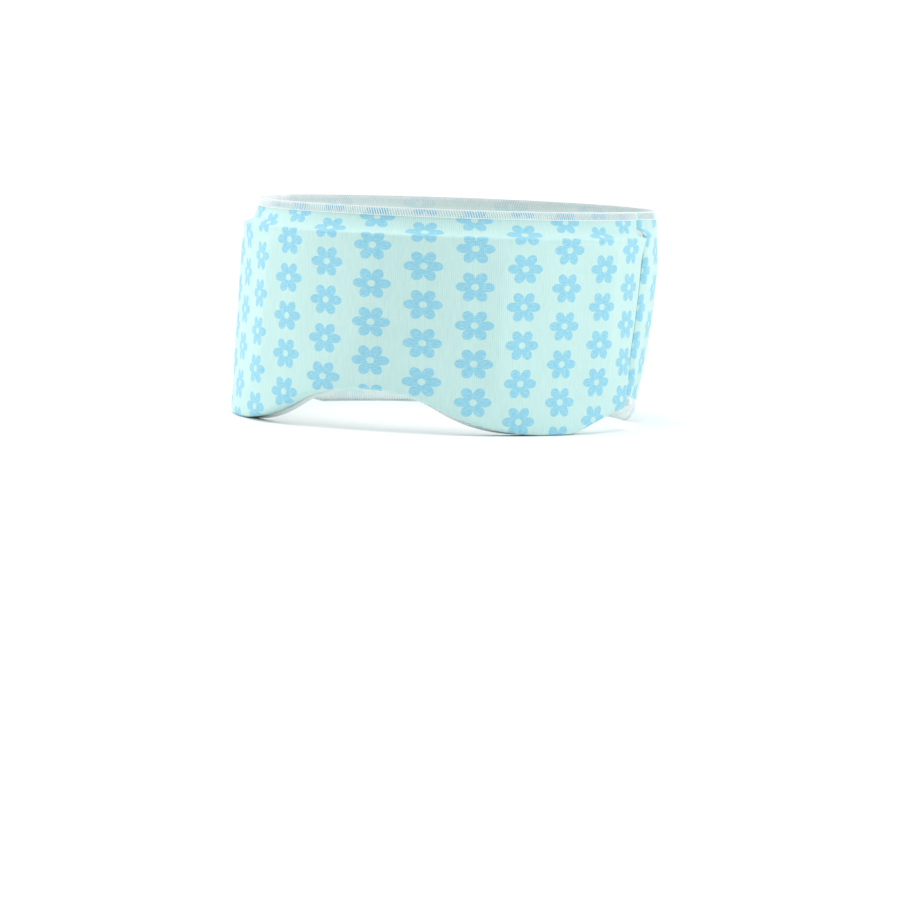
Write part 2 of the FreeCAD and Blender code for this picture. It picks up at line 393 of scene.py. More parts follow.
class Graph:
    """The nodes of one material, round its Principled shader."""

    def __init__(self, name: str, **constants: float | Colour) -> None:
        """Start a material.

        Args:
            name: The material's name.
            **constants: Values of the Principled shader's own sockets, with _ for a space.
        """
        self.material = bpy.data.materials.new(name)
        self.material.use_nodes = True
        self.tree = self.material.node_tree
        self.shader = self.tree.nodes["Principled BSDF"]
        for label, value in constants.items():
            self.shader.inputs[label.replace("_", " ")].default_value = value

    def node(self, kind: str, settings: dict[str, object] | None = None,
             inputs: dict[str | int, object] | None = None) -> bpy.types.Node:
        """Add a node.

        Args:
            kind: The node's type.
            settings: Its properties, set before its inputs.
            inputs: Values or links for its sockets.

        Returns:
            The node.
        """
        node = self.tree.nodes.new(kind)
        for label, value in (settings or {}).items():
            setattr(node, label, value)
        for label, value in (inputs or {}).items():
            if isinstance(value, Value):
                self.tree.links.new(value.socket, node.inputs[label])
            else:
                node.inputs[label].default_value = value
        return node

    def maths(self, operation: str, *values: Number) -> Value:
        """Add a Math node and return its result."""
        node = self.node("ShaderNodeMath", {"operation": operation}, dict(enumerate(values)))
        return Value(self, node.outputs[0])

    def mix(self, share: Number, first: Colour | Value, second: Colour | Value) -> Value:
        """Mix two colours."""
        node = self.node("ShaderNodeMix", {"data_type": "RGBA"}, {0: share, 6: first, 7: second})
        return Value(self, node.outputs[2])

    def uv(self) -> tuple[Value, Value]:
        """Read the cloth's own lengths from its UV map.

        Returns:
            The lengths along and up it, in millimetres.
        """
        place = self.node("ShaderNodeUVMap", {"uv_map": "cloth"})
        parts = self.node("ShaderNodeSeparateXYZ", None, {0: Value(self, place.outputs["UV"])})
        return Value(self, parts.outputs["X"]) / MM, Value(self, parts.outputs["Y"]) / MM

    def noise(self, along: Number, up: Number, detail: float = 2.0) -> Value:
        """Add noise that lies on the cloth.

        Args:
            along: Place along the cloth, in the noise's own grains.
            up: Place up the cloth, in the noise's own grains.
            detail: How much finer noise is laid over it.

        Returns:
            Noise of about 0.5.
        """
        place = self.node("ShaderNodeCombineXYZ", None, {"X": along, "Y": up})
        node = self.node(
            "ShaderNodeTexNoise", {"noise_dimensions": "2D"},
            {"Vector": Value(self, place.outputs[0]), "Scale": 1.0, "Detail": detail},
        )
        return Value(self, node.outputs[0])

    def solid_noise(self, per_metre: float, detail: float = 2.0) -> Value:
        """Add noise that runs through the solid.

        Args:
            per_metre: Its grains in a metre.
            detail: How much finer noise is laid over it.

        Returns:
            Noise of about 0.5.
        """
        place = self.node("ShaderNodeTexCoord")
        node = self.node(
            "ShaderNodeTexNoise", None,
            {"Vector": Value(self, place.outputs["Object"]), "Scale": per_metre, "Detail": detail},
        )
        return Value(self, node.outputs[0])

    def feed(self, label: str, value: Value) -> None:
        """Link a value to one of the Principled shader's sockets."""
        self.tree.links.new(value.socket, self.shader.inputs[label])

    def bump(self, height: Value, distance: float, strength: float = 1.0) -> None:
        """Raise the surface.

        Args:
            height: The relief, from 0 to 1.
            distance: How high the relief's 1 stands, in metres.
            strength: Share of the relief that shows.
        """
        node = self.node(
            "ShaderNodeBump", None,
            {"Height": height, "Distance": distance, "Strength": strength},
        )
        self.feed("Normal", Value(self, node.outputs["Normal"]))


# ---- finishes ----


@dataclass(frozen=True)
class KnitFinish:
    """A fine brushed jersey, plain or printed with rows of six-petalled flowers, with painted
    shade in the grooves between its wales.
    """

    name: str
    ground: Colour = (0.585, 0.825, 0.795, 1)
    # The darker yarn tone, used for random streaks and as painted shade in the grooves between
    # wales.
    shade: Colour = (0.505, 0.755, 0.735, 1)
    ink: Colour = (0.25, 0.61, 0.77, 1)
    pale_ink: Colour = (0.37, 0.70, 0.82, 1)
    ink_strength: float = 1.0
    column_pitch: float = 21.05
    row_pitch: float = 15.35
    first_column: float = 0.0
    first_row: float = 17.9
    flower_half_width: float = 7.95
    flower_half_height: float = 6.35
    petals: int = 6
    petal_centre: float = 0.635
    petal_half_length: float = 0.37
    petal_half_width: float = 0.295
    petal_edge: Pair = (1.12, 0.88)
    heart_edge: Pair = (0.54, 0.48)
    eye_edge: Pair = (0.18, 0.23)
    wale_pitch: float = 0.86
    course_pitch: float = 0.72

    def flowers(self, graph: Graph, along: Value, up: Value) -> Value:
        """Draw the print.

        Args:
            graph: The material's graph.
            along: Length along the cloth, in millimetres.
            up: Height on the cloth, in millimetres.

        Returns:
            1 on the petals and 0 elsewhere.
        """
        column = (along - self.first_column) / self.column_pitch
        number = column.rounded()
        across = (column - number) * (self.column_pitch / self.flower_half_width)
        odd = abs(graph.maths("FLOORED_MODULO", number, 2.0))
        row = (up - self.first_row) / self.row_pitch - odd * 0.5
        rise = (row - row.rounded()) * (self.row_pitch / self.flower_half_height)
        out = graph.maths("SQRT", across * across + rise * rise)
        turn = graph.maths("ARCTAN2", rise, across)
        sector = 2 * math.pi / self.petals
        fold = turn - (turn / sector).rounded() * sector
        radial = out * graph.maths("COSINE", fold) - self.petal_centre
        radial = radial / self.petal_half_length
        sideways = out * fold.sine() / self.petal_half_width
        petal = (radial * radial + sideways * sideways).rise(*self.petal_edge)
        heart = out.rise(*self.heart_edge)
        eye = out.rise(*self.eye_edge)
        return graph.maths("MAXIMUM", petal, heart) * eye * self.ink_strength

    def make(self) -> bpy.types.Material:
        """Build the material.

        Returns:
            The material.
        """
        graph = Graph(
            self.name, Roughness=0.86, Sheen_Weight=0.22, Sheen_Roughness=0.45,
            Specular_IOR_Level=0.25,
        )
        along, up = graph.uv()
        wander = graph.noise(along * 0.12, up * 0.12) - 0.5
        wale = (along + wander * 0.3) * (math.pi / self.wale_pitch)
        course = (up + wander * 0.3) * (math.pi / self.course_pitch)
        rib = abs(wale.sine())
        loop = abs((course + rib * 0.9).sine())
        fuzz = graph.noise(along * 2.6, up * 2.6, 4.0)
        streak = graph.noise(along * 1.6, up * 0.16)
        dash = graph.noise(along * 0.55, up * 1.9)
        # Streaks and fuzz are random tone in the yarn; (1 - rib) is painted shade, darker in the
        # grooves between wales where the bump sinks.
        ground = graph.mix(
            (streak - 0.5) * 1.5 + (1 - rib) * 0.55 + 0.05 + (fuzz - 0.5) * 0.6,
            self.ground, self.shade)
        ink = graph.mix((dash - 0.5) * 2.4 + 0.35 + (1 - loop) * 0.25, self.ink, self.pale_ink)
        printed = graph.mix(self.flowers(graph, along, up), ground, ink)
        graph.feed("Base Color", printed)
        graph.feed("Roughness", 0.80 + fuzz * 0.12)
        graph.bump(rib * 0.45 + loop * 0.30 + fuzz * 0.45, 0.11 * MM)
        return graph.material


@dataclass(frozen=True)
class ThreadFinish:
    """Soft bulked polyester thread."""

    name: str = "overlock thread"
    pale: Colour = (0.93, 0.96, 0.97, 1)
    dull: Colour = (0.78, 0.88, 0.90, 1)

    def make(self) -> bpy.types.Material:
        """Build the material.

        Returns:
            The material.
        """
        graph = Graph(self.name, Roughness=0.7, Sheen_Weight=0.3, Sheen_Roughness=0.4)
        strand = graph.solid_noise(2600.0, 3.0)
        graph.feed("Base Color", graph.mix(strand.rise(0.35, 0.75), self.pale, self.dull))
        graph.feed("Roughness", 0.6 + strand * 0.25)
        graph.bump(strand, 0.08 * MM)
        return graph.material


@dataclass(frozen=True)
class SatinFinish:
    """Plain woven satin tape."""

    name: str = "satin tape"
    pale: Colour = (0.90, 0.91, 0.89, 1)
    dull: Colour = (0.80, 0.81, 0.79, 1)

    def make(self) -> bpy.types.Material:
        """Build the material.

        Returns:
            The material.
        """
        graph = Graph(self.name, Roughness=0.35, Sheen_Weight=0.2, Anisotropic=0.5)
        along, up = graph.uv()
        warp = abs((along * (math.pi / 0.22)).sine())
        weft = abs((up * (math.pi / 0.30)).sine())
        graph.feed("Base Color", graph.mix(warp * 0.5 + weft * 0.3, self.dull, self.pale))
        graph.feed("Roughness", 0.32 + weft * 0.15)
        graph.bump(warp * 0.5 + weft * 0.5, 0.03 * MM)
        return graph.material


@dataclass(frozen=True)
class FilmFinish:
    """Clear soft film, clouded where it is welded."""

    name: str
    tint: Colour = (0.72, 0.91, 0.97, 1)
    cloud: Colour = (0.88, 0.97, 0.99, 1)
    alpha: float = 0.22
    roughness: float = 0.08

    def make(self) -> bpy.types.Material:
        """Build the material.

        Returns:
            The material.
        """
        graph = Graph(
            self.name, Alpha=self.alpha, Coat_Weight=0.4, Coat_Roughness=0.12,
            Specular_IOR_Level=0.5,
        )
        crinkle = graph.solid_noise(260.0, 5.0)
        graph.feed("Base Color", graph.mix(crinkle.rise(0.35, 0.7), self.tint, self.cloud))
        graph.feed("Roughness", self.roughness + crinkle * 0.2)
        graph.bump(crinkle, 0.35 * MM)
        return graph.material


@dataclass(frozen=True)
class GelFinish:
    """Soft blue gel with small bubbles in it."""

    name: str = "blue gel"
    deep: Colour = (0.02, 0.30, 0.58, 1)
    clear: Colour = (0.06, 0.46, 0.74, 1)
    thin: Colour = (0.30, 0.74, 0.88, 1)

    def make(self) -> bpy.types.Material:
        """Build the material.

        Returns:
            The material.
        """
        graph = Graph(
            self.name, Transmission_Weight=0.45, IOR=1.36, Coat_Weight=0.3,
            Coat_Roughness=0.1, Subsurface_Weight=0.15, Subsurface_Scale=3 * MM,
        )
        cloud = graph.solid_noise(120.0, 3.0)
        bubble = graph.solid_noise(700.0, 0.0).rise(0.70, 0.76)
        across, up = graph.uv()
        thin = abs(across - 0.5).rise(0.20, 0.52) + abs(up - 0.5).rise(0.40, 0.5) * 0.6
        body = graph.mix(cloud.rise(0.3, 0.7), self.deep, self.clear)
        body = graph.mix(graph.maths("MINIMUM", thin, 1.0), body, self.thin)
        graph.feed("Base Color", graph.mix(bubble * 0.6, body, (0.75, 0.93, 0.97, 1)))
        graph.feed("Roughness", 0.12 + cloud * 0.18)
        graph.bump(cloud + bubble * 0.4, 0.4 * MM)
        return graph.material


# ---- building blocks ----


class Body(Enum):
    """The two things that move apart."""

    COVER = "cover"
    PACK = "gel_pack"


Place = Callable[[float, float], tuple[Vector, float, float]]


@dataclass
class Workshop:
    """Makes finished pieces and puts them in the scene."""

    band: Band
    pieces: list[bpy.types.Object] = field(default_factory=list)

    def piece(self, name: str, mesh: bpy.types.Mesh, body: Body, slot: str,
              nodes: tuple[str, ...], *finishes: bpy.types.Material) -> bpy.types.Object:
        """Put a mesh in the scene as a finished piece.

        Args:
            name: The piece's name.
            mesh: Its mesh, in place.
            body: What it moves with.
            slot: Not used.
            nodes: The nodes that it stands for.
            *finishes: Its materials.

        Returns:
            The piece.
        """
        mesh.name = name
        made = bpy.data.objects.new(name, mesh)
        bpy.context.scene.collection.objects.link(made)
        mesh.materials.clear()
        for finish in finishes:
            mesh.materials.append(finish)
        for polygon in mesh.polygons:
            polygon.use_smooth = True
        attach(made, body.value)
        if nodes:
            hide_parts(*nodes)
        self.pieces.append(made)
        LOG.info("%s: %d faces", name, len(mesh.polygons))
        return made

    @staticmethod
    def ply(columns: int, rows: int, place: Place, inside_out: bool = False) -> bpy.types.Mesh:
        """Shape a flat cut of cloth.

        Args:
            columns: Faces along the cloth.
            rows: Faces up the cloth.
            place: From shares along and up the cut, 0 to 1, to a point and the cloth's lengths.
            inside_out: Whether its right side is towards the head.

        Returns:
            The shaped cloth, with its lengths as its UV map.
        """
        shaped = bmesh.new()
        bmesh.ops.create_grid(
            shaped, x_segments=columns, y_segments=rows, size=0.5, calc_uvs=False)
        lengths = {}
        for vert in shaped.verts:
            point, along, up = place(vert.co.x + 0.5, vert.co.y + 0.5)
            lengths[vert.index] = (along, up)
            vert.co = point
        layer = shaped.loops.layers.uv.new("cloth")
        for face in shaped.faces:
            for loop in face.loops:
                loop[layer].uv = lengths[loop.vert.index]
        if inside_out:
            bmesh.ops.reverse_faces(shaped, faces=shaped.faces)
        mesh = bpy.data.meshes.new("ply")
        shaped.to_mesh(mesh)
        shaped.free()
        return mesh

    @staticmethod
    def join(plies: Iterable[bpy.types.Mesh],
             close: Callable[[bmesh.types.BMesh], None] | None = None) -> bpy.types.Mesh:
        """Join plies into one mesh.

        Args:
            plies: The plies, which are used up.
            close: What closes the joined plies up, if they enclose something.

        Returns:
            The one mesh.
        """
        joined = bmesh.new()
        for ply in plies:
            joined.from_mesh(ply)
            bpy.data.meshes.remove(ply)
        if close:
            close(joined)
            bmesh.ops.recalc_face_normals(joined, faces=joined.faces)
        mesh = bpy.data.meshes.new("joined")
        joined.to_mesh(mesh)
        joined.free()
        return mesh

    @staticmethod
    def thicken(piece: bpy.types.Object, thickness: float, back_finish: int = 0) -> None:
        """Give a cloth its thickness, behind its right side.

        Args:
            piece: The cloth.
            thickness: How thick it is.
            back_finish: How many materials on from its right side's its back's is.
        """
        solid = piece.modifiers.new("thickness", "SOLIDIFY")
        solid.thickness = thickness
        solid.offset = -1.0
        solid.material_offset = back_finish
        solid.material_offset_rim = 0


# ---- the cover ----


@dataclass
class FrontPanel:
    """The printed front, which rounds under the pack, runs up its face and steps in to the lip."""

    band: Band
    columns: int = 300
    foot_rows: int = 6
    corner_rows: int = 5
    face_rows: int = 46
    crease_rows: int = 8
    lip_rows: int = 14
    top_rows: int = 4
    weld_count: int = 12
    weld_dip: float = 0.3 * MM
    weld_width: float = 4.6 * MM
    facet: float = math.radians(36)
    facet_depth: float = 1.7 * MM
    facet_proud: float = 1.1 * MM
    foot_fade: Pair = (8 * MM, 14 * MM)
    top_fade: Pair = (3 * MM, 8 * MM)
    wave: float = 0.2 * MM
    ridge: float = 0.45 * MM
    ridge_drop: float = 1.2 * MM
    ridge_width: float = 2.0 * MM
    foot_gap: float = 0.3 * MM
    foot_rise: float = 0.35 * MM
    corner: float = 2.4 * MM
    crease: float = 0.7 * MM
    crease_lead: float = 1.5
    crease_drop: float = 1.6 * MM
    ledge_rise: Pair = (1.9 * MM, 1.1 * MM)
    ledge_off: Pair = (0.4 * MM, 0.8 * MM)
    lip_bend: Pair = (0.80, 0.35)
    side_start: float = math.radians(38)
    side_width: float = math.radians(30)
    lip_slack: float = 1.28
    print_skew: float = 0.055
    skew_middle: float = -0.1
    skew_fade: Pair = (0.6, 0.5)

    def __post_init__(self) -> None:
        """Measure the front's face, from seam to seam."""
        self.tape = Tape(
            lambda angle: self.band.front(angle, 0.0, self.band.face), -RIGHT_ANGLE, RIGHT_ANGLE)

    def toward_side(self, angle: float, values: Pair) -> float:
        """Blend from a value over the eyes to a value at the temples."""
        return blend(smooth((abs(angle) - self.side_start) / self.side_width), *values)

    def relief(self, angle: float, z: float) -> float:
        """Work out the dips at the pack's welds, the facets, the slack and the ridge at the top.

        Args:
            angle: Angle round the head from the nose.
            z: Height.

        Returns:
            How far the face stands in from its plain shape.
        """
        edge = self.band.front_edge(angle)
        pitch = math.pi / self.weld_count
        from_weld = abs((angle / pitch + 0.5) % 1.0 - 0.5) * pitch * self.band.front_depth
        channel = math.exp(-((from_weld / self.weld_width) ** 2)) * self.weld_dip
        from_ridge = z - self.band.pack_top + self.ridge_drop
        rim = math.exp(-((from_ridge / self.ridge_width) ** 2)) * self.ridge
        reach = smooth((z - edge - self.foot_fade[0]) / self.foot_fade[1])
        reach *= smooth((self.band.pack_top - self.top_fade[0] - z) / self.top_fade[1])
        across = 2 * ((angle / self.facet) % 1.0) - 1
        flat = (self.facet_depth * (1 - across * across) - self.facet_proud) * reach
        # Slack is two crossed waves, so that it has no plain repeat.
        wave = self.wave * math.sin(angle * 9.0 + z * 60.0) * math.sin(z * 75.0 + angle * 3.0)
        return channel * reach + flat + wave - rim

    def seam_fall(self, length: float) -> float:
        """Return how far the cloth is drawn in beside a side seam, at a length along it."""
        return self.band.dip(self.tape.from_end(length))

    def section(self, angle: float) -> list[tuple[float, float]]:
        """Return the ply's section at an angle, from the lining's foot up to the top edge.

        Args:
            angle: Angle round the head from the nose.

        Returns:
            Corners of the section as (distance off the head, height).
        """
        band = self.band
        edge = band.front_edge(angle)
        top = band.height - band.thread
        ledge_off = band.lip + self.toward_side(angle, self.ledge_off)
        crease_z = band.pack_top - self.crease_drop
        return [
            (band.cloth + self.foot_gap, edge + self.foot_rise),
            (band.face - self.corner, edge),
            (band.face, edge + self.corner),
            (band.face, crease_z),
            (ledge_off, crease_z + self.toward_side(angle, self.ledge_rise)),
            (band.lip, top),
        ]

    def rows(self) -> int:
        """Return how many faces the ply has up it."""
        return (self.foot_rows + self.corner_rows + self.face_rows + self.crease_rows
                + self.lip_rows + self.top_rows)

    def profile(self, angle: float) -> list[tuple[float, float]]:
        """Return the rounded section at an angle, one (distance, height) for each row.

        Args:
            angle: Angle round the head from the nose.

        Returns:
            As many points at every angle, so that rows follow the crease and the corner.
        """
        foot, under, corner, crease, lip, top = (Vector(pair) for pair in self.section(angle))
        path: list[Vector] = []

        def run(first: Vector, last: Vector, steps: int) -> None:
            """Add a straight run, without its last point."""
            path.extend(first.lerp(last, step / steps) for step in range(steps))

        def turn(first: Vector, middle: Vector, last: Vector, steps: int) -> None:
            """Add a round corner, without its last point.

            Args:
                first: Where it starts.
                middle: The sharp corner that it rounds.
                last: Where it ends.
                steps: How many points it has.
            """
            for step in range(steps):
                share = step / steps
                path.append(first.lerp(middle, share).lerp(middle.lerp(last, share), share))

        before = crease + (corner - crease).normalized() * self.crease * self.crease_lead
        after = crease + (lip - crease).normalized() * self.crease
        lip_after = lip + (top - lip) * self.toward_side(angle, self.lip_bend)
        run(foot, under, self.foot_rows)
        turn(under, Vector((corner.x, under.y)), corner, self.corner_rows)
        run(corner, before, self.face_rows)
        turn(before, crease, after, self.crease_rows)
        turn(after, lip, lip_after, self.lip_rows)
        run(lip_after, top, self.top_rows)
        path.append(top)
        return [(point.x, point.y) for point in path]

    def mesh(self) -> bpy.types.Mesh:
        """Shape the ply.

        Returns:
            The shaped cloth, without its thickness.
        """
        band, rows = self.band, self.rows()
        upright = self.foot_rows + self.corner_rows
        crease = upright + self.face_rows + self.crease_rows // 2
        known: dict[int, list[tuple[float, float, float]]] = {}

        def column(number: int) -> list[tuple[float, float, float]]:
            """Measure one column, once.

            Args:
                number: The column, from 0.

            Returns:
                (distance off the head, height, length of cloth) for each row.
            """
            if number not in known:
                angle = self.tape.angle_at(self.tape.length * number / self.columns)
                line = self.profile(band.swept(angle, 0.0))
                lengths = [0.0]
                for row, ((off, z), (next_off, next_z)) in enumerate(zip(line, line[1:])):
                    slack = self.lip_slack if row > crease else 1.0
                    run = math.hypot(next_off - off, next_z - z) * slack
                    lengths.append(lengths[-1] + run)
                start = lengths[upright] - line[upright][1]
                known[number] = [(off, z, length - start)
                                 for (off, z), length in zip(line, lengths)]
            return known[number]

        def place(along: float, up: float) -> tuple[Vector, float, float]:
            """Put one point of the cut cloth on the band.

            Args:
                along: Share of the way along the cut.
                up: Share of the way up the cut.

            Returns:
                The point, and its lengths on the cut.
            """
            number, row = round(along * self.columns), round(up * rows)
            off, z, cloth_up = column(number)[row]
            seam = band.seam_angle(z)
            length = blend(along, self.tape.length_at(-seam), self.tape.length_at(seam))
            angle = self.tape.angle_at(length)
            share = smooth((off - band.lip) / (band.face - band.lip))
            off -= self.relief(angle, z) * share + self.seam_fall(self.tape.length * along)
            from_middle = abs(angle - self.skew_middle)
            skew = self.print_skew * (
                1 - smooth((from_middle - self.skew_fade[0]) / self.skew_fade[1]))
            print_along = length - self.tape.length / 2 + skew * (z - band.height / 2)
            return band.front(angle, z, off), print_along, cloth_up

        return Workshop.ply(self.columns, rows, place)


@dataclass
class BackPanel:
    """The single printed ply round the back of the head."""

    band: Band
    columns: int = 320
    rows: int = 70
    gather: float = 0.35 * MM
    gather_reach: float = 22 * MM
    slack: float = 0.5 * MM
    seam_fade: float = 4 * MM
    top_fade: float = 12 * MM

    def __post_init__(self) -> None:
        """Measure the back, from the right side seam to the left."""
        middle = self.band.height / 2
        first = self.band.seam_angle(self.band.height)
        self.tape = Tape(
            lambda angle: self.band.back(angle, middle, 0.0), first, 4 * RIGHT_ANGLE - first)

    def ripple(self, length: float, z: float) -> float:
        """Work out the slack of the cloth, which gathers a little beside the seams.

        Args:
            length: Length along the back from the right side seam.
            z: Height.

        Returns:
            How far the cloth stands out.
        """
        from_seam = self.tape.from_end(length)
        near_seam = math.exp(-from_seam / self.gather_reach)
        pull = self.gather * near_seam * math.sin(z * 310.0 + math.sin(length * 90.0))
        slack = math.sin(length * 31.0 + z * 16.0) * math.sin(z * 42.0 + length * 9.0)
        fade = smooth(from_seam / self.seam_fade) * smooth((self.band.height - z) / self.top_fade)
        return (pull + self.slack * slack) * fade

    def point(self, length: float, z: float, off: float = 0.0) -> Vector:
        """Return a point of the back's outer face, or off it.

        Args:
            length: Length along the back from the right side seam.
            z: Height.
            off: Distance out from the face.

        Returns:
            The point.
        """
        dip = self.band.dip(self.tape.from_end(length))
        share = 2 * length / self.tape.length - 1
        sweep = (self.band.seam_angle(self.band.height) - self.band.seam_angle(z)) * share
        angle = self.tape.angle_at(length) + sweep
        return self.band.back(angle, z, off - dip + self.ripple(length, z))

    def edge(self, length: float) -> float:
        """Return the height of the cloth's lower edge at a length along it."""
        return self.band.back_edge(self.tape.angle_at(length)) + self.band.thread

    def mesh(self) -> bpy.types.Mesh:
        """Shape the ply.

        Returns:
            The shaped cloth, without its thickness.
        """
        top = self.band.height - self.band.thread

        def place(along: float, up: float) -> tuple[Vector, float, float]:
            """Put one point of the cut cloth on the band.

            Args:
                along: Share of the way along the cut.
                up: Share of the way up the cut.

            Returns:
                The point, and its lengths on the cut.
            """
            length = self.tape.length * along
            z = blend(up, self.edge(length), top)
            return self.point(length, z), length, z

        return Workshop.ply(self.columns, self.rows, place)


@dataclass
class Lining:
    """The plain ply against the face, turned out at its ends to meet the side seams."""

    band: Band
    columns: int = 220
    rows: int = 50
    turn: float = 1.3 * MM
    turn_short: float = 1.9 * MM
    slack: float = 0.25 * MM
    foot_fade: float = 20 * MM
    top_fade: Pair = (5 * MM, 10 * MM)

    def __post_init__(self) -> None:
        """Measure the lining, from seam to seam."""
        self.tape = Tape(
            lambda angle: self.band.front(angle, 0.0, 0.0), -RIGHT_ANGLE, RIGHT_ANGLE)

    def point(self, length: float, z: float, off: float = 0.0) -> Vector:
        """Return a point on the lining's face, or off it towards the pocket.

        Args:
            length: Length along the lining from the left side seam.
            z: Height.
            off: Distance out from the face.

        Returns:
            The point.
        """
        angle = self.band.swept(self.tape.angle_at(length), z)
        from_seam = self.tape.from_end(length)
        out = (self.band.ledge(z) - self.turn_short) * smooth(1 - from_seam / self.turn)
        slack = self.slack * math.sin(angle * 7.0 + z * 40.0) * math.sin(z * 60.0)
        slack *= smooth((self.band.height - self.top_fade[0] - z) / self.top_fade[1])
        slack *= smooth(z / self.foot_fade)
        return self.band.front(angle, z, off + max(out, 0.0) - abs(slack))

    def edge(self, length: float) -> float:
        """Return the height of the lining's lower edge at a length along it."""
        return self.band.front_edge(self.tape.angle_at(length))

    def mesh(self) -> bpy.types.Mesh:
        """Shape the ply.

        Returns:
            The shaped cloth, without its thickness.
        """
        top = self.band.height - self.band.thread

        def place(along: float, up: float) -> tuple[Vector, float, float]:
            """Put one point of the cut cloth on the band.

            Args:
                along: Share of the way along the cut.
                up: Share of the way up the cut.

            Returns:
                The point, and its lengths on the cut.
            """
            length = self.tape.length * along
            z = blend(up, self.edge(length), top)
            return self.point(length, z), length, z

        return Workshop.ply(self.columns, self.rows, place, inside_out=True)


EdgePlace = Callable[[float, float, float], Vector]


@dataclass(frozen=True)
class Overlock:
    """Three-thread overlock wound over a cut edge."""

    pitch: float = 1.15 * MM
    depth: float = 2.75 * MM
    slant: float = 1.25 * MM
    radius: float = 0.19 * MM
    bead: float = 0.29 * MM

    def mesh(self, start: float, end: float, cloth: float, place: EdgePlace) -> bpy.types.Mesh:
        """Wind the thread along an edge.

        Args:
            start: Length along the edge where the stitching starts.
            end: Length where it ends.
            cloth: Thickness of what it is wound over.
            place: From a length along the edge, a distance out from the cloth's right side and a
                distance beyond the edge, to a point.

        Returns:
            The thread.
        """
        curve = bpy.data.curves.new("thread", "CURVE")
        curve.dimensions = "3D"
        curve.bevel_depth = self.radius
        curve.bevel_resolution = 1
        curve.use_fill_caps = True
        count = round((end - start) / self.pitch)
        proud, behind = self.radius * 0.8, -cloth - self.radius * 0.8
        crest = self.bead * 0.75
        # Each row is (share of the slant, distance out, share of the depth beyond the edge).
        winding = [
            (0.00, proud * 0.3, -1.00), (-0.25, proud * 1.2, -0.72), (-0.60, proud * 1.2, -0.30),
            (-0.95, proud, 0.00), (-1.05, -cloth / 2, crest / self.depth), (-0.95, behind, 0.00),
            (-0.60, behind * 1.04, -0.35), (-0.20, behind, -0.98),
        ]
        needle = [(-0.2, proud * 0.4), (0.5, proud * 1.6), (1.1, proud * 0.4)]
        for number in range(count):
            at = blend((number + 0.5) / count, start, end)
            lift = 1.0 + 0.04 * math.sin(number * 2.4)
            self._spline(curve, [
                place(at + along * self.slant, out, up * self.depth * lift)
                for along, out, up in winding
            ])
            self._spline(curve, [
                place(at + along * self.pitch, out, -self.depth) for along, out in needle
            ])
        chain = [
            place(blend((number + 0.5) / (2 * count), start, end),
                  -cloth / 2 + (0.32 if number % 2 else -0.32) * cloth, crest)
            for number in range(2 * count)
        ]
        self._spline(curve, chain, self.bead / self.radius)
        thread = bpy.data.objects.new("thread", curve)
        mesh = bpy.data.meshes.new_from_object(thread)
        bpy.data.objects.remove(thread)
        return mesh

    @staticmethod
    def _spline(curve: bpy.types.Curve, points: list[Vector], thickness: float = 1.0) -> None:
        """Lay one length of thread.

        Args:
            curve: What it is added to.
            points: Its route.
            thickness: Its thickness, as a share of the winding's.
        """
        spline = curve.splines.new("POLY")
        spline.points.add(len(points) - 1)
        for knot, point in zip(spline.points, points):
            knot.co = (*point, 1.0)
            knot.radius = thickness


